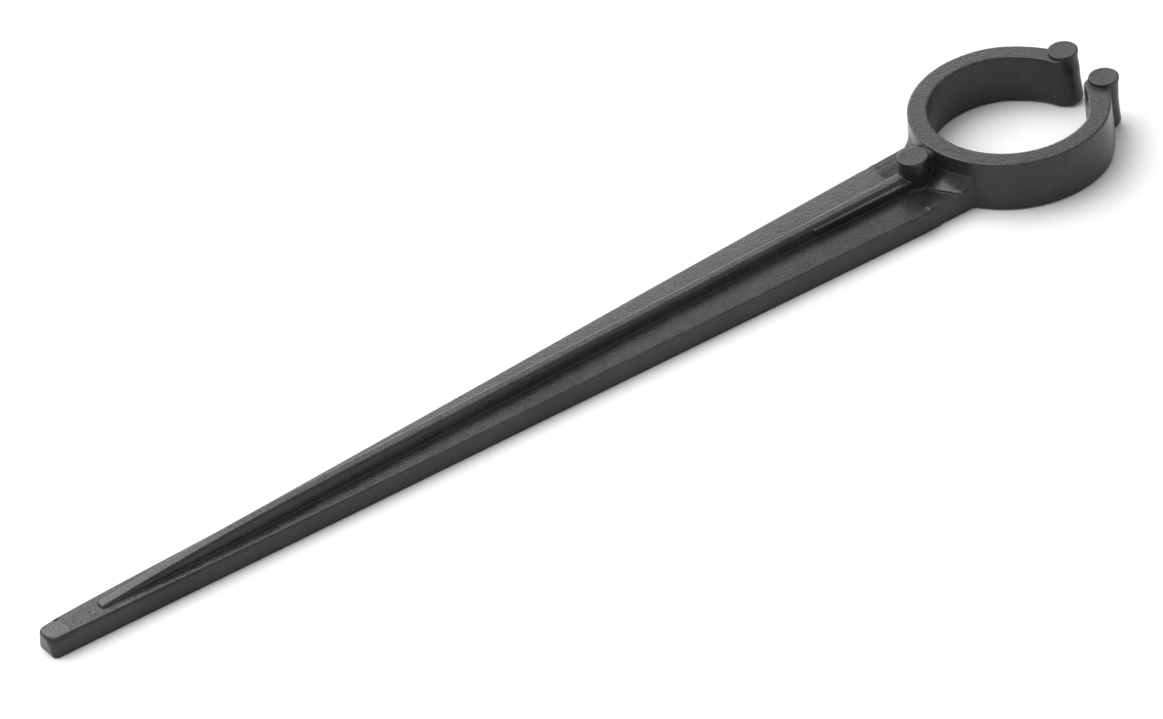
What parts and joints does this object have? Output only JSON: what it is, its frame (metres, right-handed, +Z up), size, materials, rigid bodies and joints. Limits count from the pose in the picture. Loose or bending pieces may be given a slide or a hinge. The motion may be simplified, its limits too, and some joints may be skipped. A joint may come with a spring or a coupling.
{
  "type": "spudger",
  "caption": "Slim black plastic spudger: long tapered shaft with a middle rib, blunt tip, and an open snap ring with round lugs at its other end.",
  "frame": {"origin": "centre of the footprint, on the surface that the tool lies on", "axes": "+X along the shaft from the tip to the ring's mouth, +Y to the left side, +Z up along the ring's axis"},
  "size_m": [0.1218, 0.0202, 0.0058],
  "materials": {
    "black_plastic": "fine satin, as moulded"
  },
  "bodies": {
    "handle": {"shaft_flange": "black_plastic", "spine_rib": "black_plastic", "rib_ledge_left": "black_plastic", "rib_ledge_right": "black_plastic", "pry_tip": "black_plastic", "neck_floor": "black_plastic", "neck_spine": "black_plastic", "neck_wall_left": "black_plastic", "neck_wall_right": "black_plastic", "neck_shelf_left": "black_plastic", "neck_shelf_right": "black_plastic", "stop_stud": "black_plastic", "stud_web": "black_plastic", "ring_root": "black_plastic"},
    "arm_left": {"ring_arm_left": "black_plastic", "ring_lug_left": "black_plastic", "lug_pad_left": "black_plastic"},
    "arm_right": {"ring_arm_right": "black_plastic", "ring_lug_right": "black_plastic", "lug_pad_right": "black_plastic"}
  },
  "joints": [
    {"name": "arm_left_flex", "type": "hinge", "parent": "handle", "child": "arm_left", "pos_m": [0.04332, 0.00583, 0], "axis": [0, 0, 1], "range_deg": [-4, 10], "stiffness_Nm_per_rad": 1.2},
    {"name": "arm_right_flex", "type": "hinge", "parent": "handle", "child": "arm_right", "pos_m": [0.04332, -0.00583, 0], "axis": [0, 0, -1], "range_deg": [-4, 10], "stiffness_Nm_per_rad": 1.2}
  ]
}
